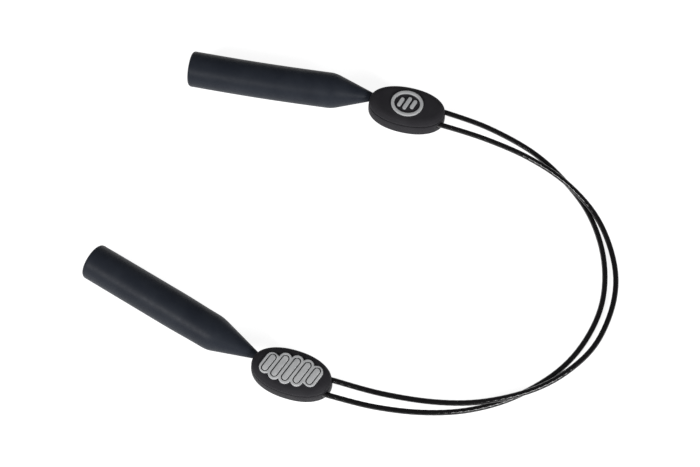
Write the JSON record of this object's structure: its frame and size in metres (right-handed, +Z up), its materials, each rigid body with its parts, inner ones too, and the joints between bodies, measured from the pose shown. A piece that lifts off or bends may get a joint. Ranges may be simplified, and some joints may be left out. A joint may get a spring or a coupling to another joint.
{
  "type": "eyeglass retainer strap",
  "caption": "Adjustable eyeglass retainer: silicone temple sleeves, oval adjuster discs and a loop of coated wires that slide through the discs.",
  "frame": {"origin": "centre of the footprint of the two sleeves and discs, on the surface that the retainer lies on", "axes": "+X from the temple sleeves to the back of the loop, +Y to the wearer's right, +Z up from the surface it lies on"},
  "size_m": [0.1429, 0.1061, 0.01],
  "materials": {
    "silicone": "matte silicone",
    "disc_shell": "soft-touch matte",
    "badge": "satin silver-grey",
    "wire_coat": "clear-coated black nylon over stranded steel",
    "crimp_steel": "bright",
    "bush_rubber": "matte"
  },
  "bodies": {
    "loop": {"right_wire_loop": "wire_coat", "left_wire_loop": "wire_coat", "right_disc_top": "disc_shell", "right_disc_base": "disc_shell", "right_grip_bush": "bush_rubber", "right_anchor_crimp": "crimp_steel", "right_badge_ring": "badge", "right_badge_mark": "badge", "left_disc_top": "disc_shell", "left_disc_base": "disc_shell", "left_grip_bush": "bush_rubber", "left_anchor_crimp": "crimp_steel", "left_badge_plate": "badge", "left_badge_mark": "badge"},
    "right_end": {"right_temple_sleeve": "silicone", "right_sleeve_crimp": "crimp_steel", "right_wire_lead": "wire_coat"},
    "left_end": {"left_temple_sleeve": "silicone", "left_sleeve_crimp": "crimp_steel", "left_wire_lead": "wire_coat"}
  },
  "joints": [
    {"name": "right_length_slide", "type": "slide", "parent": "loop", "child": "right_end", "axis": [-0.9724, 0.2334, 0], "range_m": [0, 0.018]},
    {"name": "left_length_slide", "type": "slide", "parent": "loop", "child": "left_end", "axis": [-0.9511, 0.309, 0], "range_m": [0, 0.018]}
  ],
  "couplings": [
    {"joint": "left_length_slide", "follows": "right_length_slide", "ratio": 1}
  ]
}
